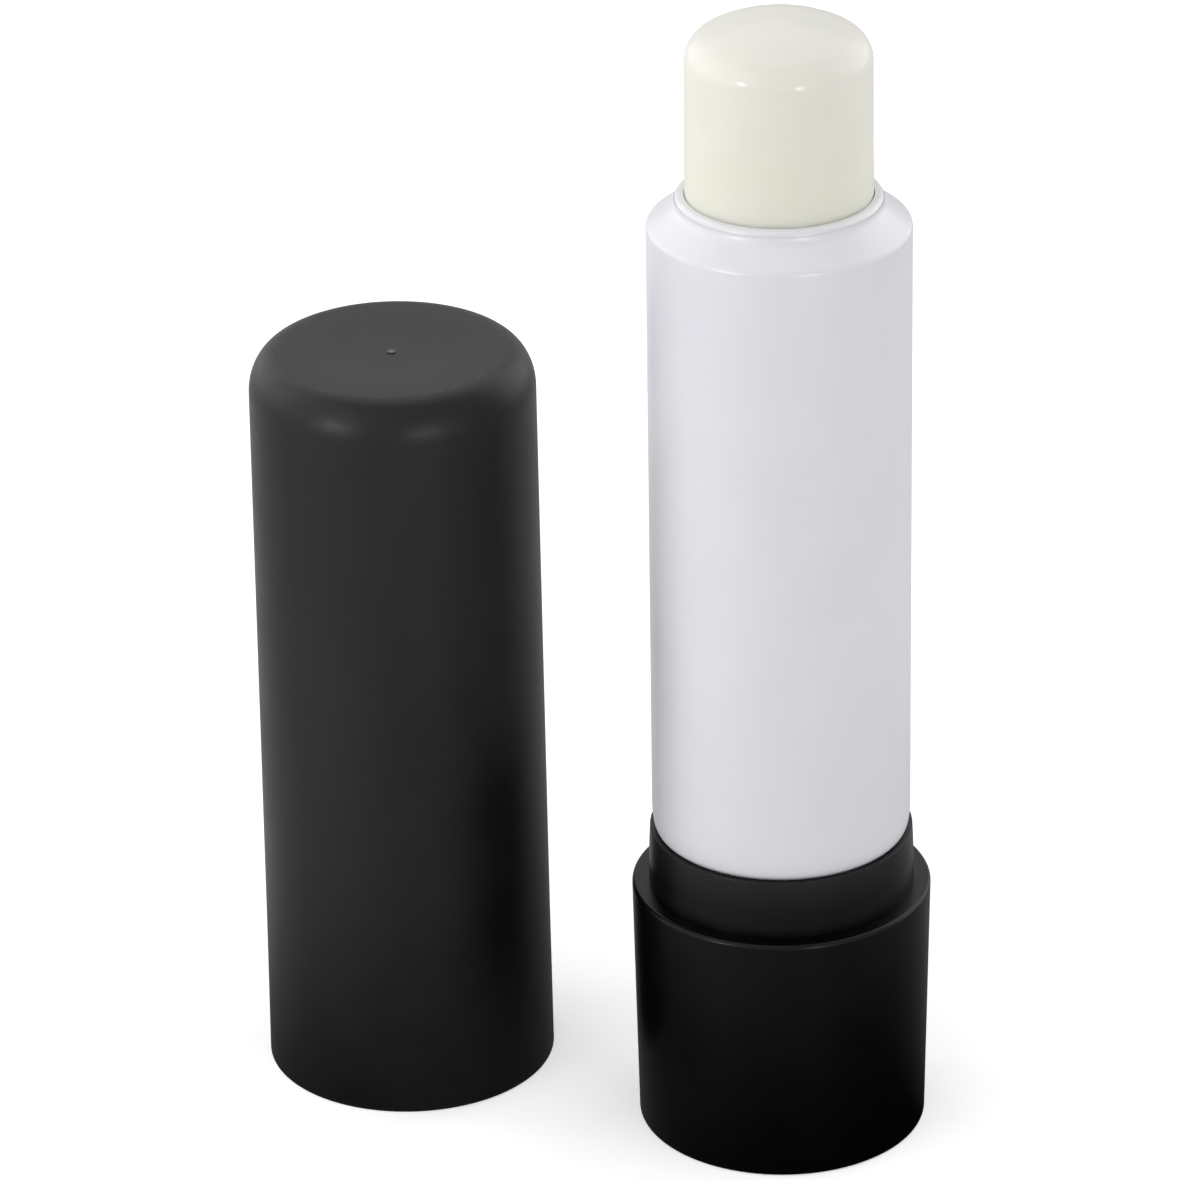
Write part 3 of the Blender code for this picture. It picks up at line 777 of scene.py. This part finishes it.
def cap_piece(material, centre):
    low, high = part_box("cap")
    mouth_radius = (high.x - low.x) / 2
    crest = high.z
    radius = mouth_radius - CAP_FLARE - CAP_TAPER
    crest_radius = radius - CAP_CORNER_WIDTH
    corner_foot = crest - CAP_CORNER_RISE
    bore = mouth_radius - CAP_MOUTH_WALL
    profile = rounded([
        (0.0, CAP_INSIDE, 0),
        (CAP_INNER_RADIUS, CAP_INSIDE, CAP_INNER_ROUND),
        (bore, CAP_FLARE_HEIGHT, 0),
        (bore, GRIP_RIB_TOP + GRIP_RIB_EASE, 0),
        (bore, GRIP_RIB_TOP, 0),
        (bore, GRIP_RIB_FOOT, 0),
        (bore, GRIP_RIB_FOOT - GRIP_RIB_EASE, 0),
        (bore, 0.0, CAP_MOUTH_ROUND),
        (mouth_radius, 0.0, CAP_MOUTH_ROUND),
        (mouth_radius - CAP_FLARE, CAP_FLARE_HEIGHT, 0),
        (radius, corner_foot, 0),
    ])
    for step in range(1, CROWN_STEPS + 1):
        angle = math.pi / 2 * step / CROWN_STEPS
        reach = crest_radius + CAP_CORNER_WIDTH * math.cos(angle)
        profile.append((reach, corner_foot + CAP_CORNER_RISE * math.sin(angle)))
    for step in range(1, CROWN_STEPS + 1):
        ring = crest_radius + (GATE_RADIUS - crest_radius) * step / CROWN_STEPS
        share = min((crest_radius - ring) / (crest_radius - CAP_DISH_FLAT), 1.0)
        eased = share - CAP_DISH_EASE * math.sin(math.tau * share)
        profile.append((ring, crest - CAP_DISH * eased))
    gate_foot = profile[-1][1]
    profile += [(GATE_RADIUS, gate_foot + GATE_HEIGHT), (0.0, gate_foot + GATE_HEIGHT)]
    rib_gap = math.tau / GRIP_RIBS

    def ribs(place):
        """Stands the grip ribs out of the bore's wall."""
        on_bore = abs(math.hypot(place.x, place.y) - bore) < MERGE_DISTANCE
        if not on_bore or not GRIP_RIB_FOOT - MERGE_DISTANCE < place.z < GRIP_RIB_TOP + MERGE_DISTANCE:
            return 0.0
        angle = math.atan2(place.y, place.x) % rib_gap - rib_gap / 2
        return GRIP_RIB_STAND if abs(angle) * bore < GRIP_RIB_WIDTH / 2 else 0.0

    piece = turned("cap_moulding", profile, material, centre=centre, relief=ribs)
    ride(piece, "cap", "cap")


def floor():
    """A pale floor: it keeps the shadows, looks white where it is seen, and in reflections is a glow
    graded with painted shade.
    """
    mesh = bpy.data.meshes.new("floor")
    square = ((-1, -1), (1, -1), (1, 1), (-1, 1))
    corners = [(x * FLOOR_REACH, y * FLOOR_REACH, FLOOR_HEIGHT) for x, y in square]
    mesh.from_pydata(corners, [], [(0, 1, 2, 3)])
    plane = bpy.data.objects.new("floor", mesh)
    bpy.context.scene.collection.objects.link(plane)
    surface = Surface("pale_floor")
    tree = surface.tree
    tree.nodes.remove(surface.shader)
    seen, mirrored = surface.seen_rays()
    diffuse = tree.nodes.new("ShaderNodeBsdfDiffuse")
    diffuse.inputs["Color"].default_value = (FLOOR_COLOUR, FLOOR_COLOUR, FLOOR_COLOUR, 1.0)
    whole = tree.nodes.new("ShaderNodeAddShader")
    surface.feed(whole.inputs[0], diffuse.outputs[0])
    surface.feed(whole.inputs[1], surface.glow(surface.math("MULTIPLY", seen, FLOOR_LIFT)))
    # The glow in reflections: painted shade near the feet, to the right and behind, and painted light to
    # the left
    side =surface.span(surface.part(0), FLOOR_LEFT, FLOOR_RIGHT, FLOOR_LEFT_LEVEL, FLOOR_RIGHT_LEVEL,
                        "LINEAR")
    back = surface.span(surface.part(1), FLOOR_BACK_FROM, FLOOR_BACK_TO, 1.0, FLOOR_BACK_LEVEL, "LINEAR")
    level = surface.math("MULTIPLY", side, back)
    for place, start, end, dark in FLOOR_SHADE_PLACES:
        near = surface.span(surface.place_math("DISTANCE", place), start, end, dark, 1.0, "LINEAR")
        level = surface.math("MULTIPLY", level, near)
    choice = tree.nodes.new("ShaderNodeMixShader")
    surface.feed(choice.inputs[0], mirrored)
    surface.feed(choice.inputs[1], whole.outputs[0])
    surface.feed(choice.inputs[2], surface.glow(level))
    surface.feed(tree.nodes["Material Output"].inputs["Surface"], choice.outputs[0])
    mesh.materials.append(surface.material)


def lamp(name, azimuth, elevation, width, height, radiance):
    """A softbox that faces the object from an azimuth right of the camera and an elevation."""
    data = bpy.data.lights.new(name, "AREA")
    data.shape = "RECTANGLE"
    data.size = width
    data.size_y = height
    data.energy = radiance * math.pi * width * height
    holder = bpy.data.objects.new(name, data)
    bpy.context.scene.collection.objects.link(holder)
    azimuth, elevation = math.radians(azimuth), math.radians(elevation)
    level = math.cos(elevation)
    out = Vector((math.sin(azimuth) * level, -math.cos(azimuth) * level, math.sin(elevation)))
    holder.location = LAMP_TARGET + out * LAMP_DISTANCE
    holder.rotation_mode = "QUATERNION"
    holder.rotation_quaternion = out.to_track_quat("Z", "Y")
    return holder


def world():
    """White where it is seen, graded in reflections, and a plain fill elsewhere."""
    backdrop = bpy.data.worlds.new("soft_studio")
    bpy.context.scene.world = backdrop
    backdrop.use_nodes = True
    nodes = Nodes(backdrop.node_tree, "Generated")
    background = nodes.tree.nodes["Background"]
    background.inputs["Color"].default_value = (1.0, 1.0, 1.0, 1.0)
    seen, mirrored = nodes.seen_rays()
    room = nodes.span(nodes.part(1), WORLD_FRONT_TO, WORLD_BACK_FROM, WORLD_FRONT, WORLD_BACK)
    middle = (0.0, math.cos(WORLD_HIGH_ELEVATION), math.sin(WORLD_HIGH_ELEVATION))
    near = nodes.place_math("DOT_PRODUCT", middle)
    high = nodes.span(near, math.cos(WORLD_HIGH_HALF_WIDTH), 1.0, 0.0, WORLD_HIGH_LEVEL)
    level = nodes.tree.nodes.new("ShaderNodeMix")
    nodes.feed(level.inputs["Factor"], mirrored)
    nodes.feed(level.inputs["A"], WORLD_FILL)
    nodes.feed(level.inputs["B"], nodes.math("ADD", room, high))
    nodes.feed(background.inputs["Strength"], nodes.math("MAXIMUM", seen, level.outputs["Result"]))


def camera():
    """The photograph's camera, from its fitted place, pitch, roll and focal length."""
    data = bpy.data.cameras.new("camera")
    data.sensor_fit = "HORIZONTAL"
    data.sensor_width = SENSOR_MM
    data.lens = SENSOR_MM * FOCAL_PIXELS / PHOTO_PIXELS
    data.clip_start = CLIP_START
    data.clip_end = CLIP_END
    forward = Vector((0.0, math.cos(CAMERA_PITCH), -math.sin(CAMERA_PITCH)))
    level_right = Vector((1.0, 0.0, 0.0))
    level_up = level_right.cross(forward)
    right = math.cos(CAMERA_ROLL) * level_right + math.sin(CAMERA_ROLL) * level_up
    up = -math.sin(CAMERA_ROLL) * level_right + math.cos(CAMERA_ROLL) * level_up
    holder = bpy.data.objects.new("camera", data)
    bpy.context.scene.collection.objects.link(holder)
    axes = Matrix((right, up, -forward)).transposed()
    holder.matrix_world = Matrix.Translation(CAMERA_PLACE) @ axes.to_4x4()
    bpy.context.scene.camera = holder


def dress_kept_nodes():
    """Gives the hidden drive's own solids their materials."""
    natural = natural_plastic()
    materials = {"spiral_sleeve": natural, "carrier_cup": natural, "drag_ring": ring_rubber()}
    for node, material in materials.items():
        for slot in frame["nodes"][node].material_slots:
            slot.material = material


def build():
    bpy.context.scene.view_settings.view_transform = "Standard"
    camera()
    world()
    for values in LAMPS:
        lamp(*values)
    for values in HIGHLIGHTS:
        lamp(*values).visible_diffuse = False
    floor()
    cap_low, cap_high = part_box("cap")
    cap_centre = tuple((cap_low + cap_high).xy / 2)
    base_piece(black_plastic())
    shell_piece(white_plastic("white_plastic", SHELL_WHITE))
    tube_piece(white_plastic("tube_plastic", TUBE_WHITE))
    balm_piece(balm_wax())
    cap_piece(charcoal_plastic(cap_centre), cap_centre)
    dress_kept_nodes()


build()
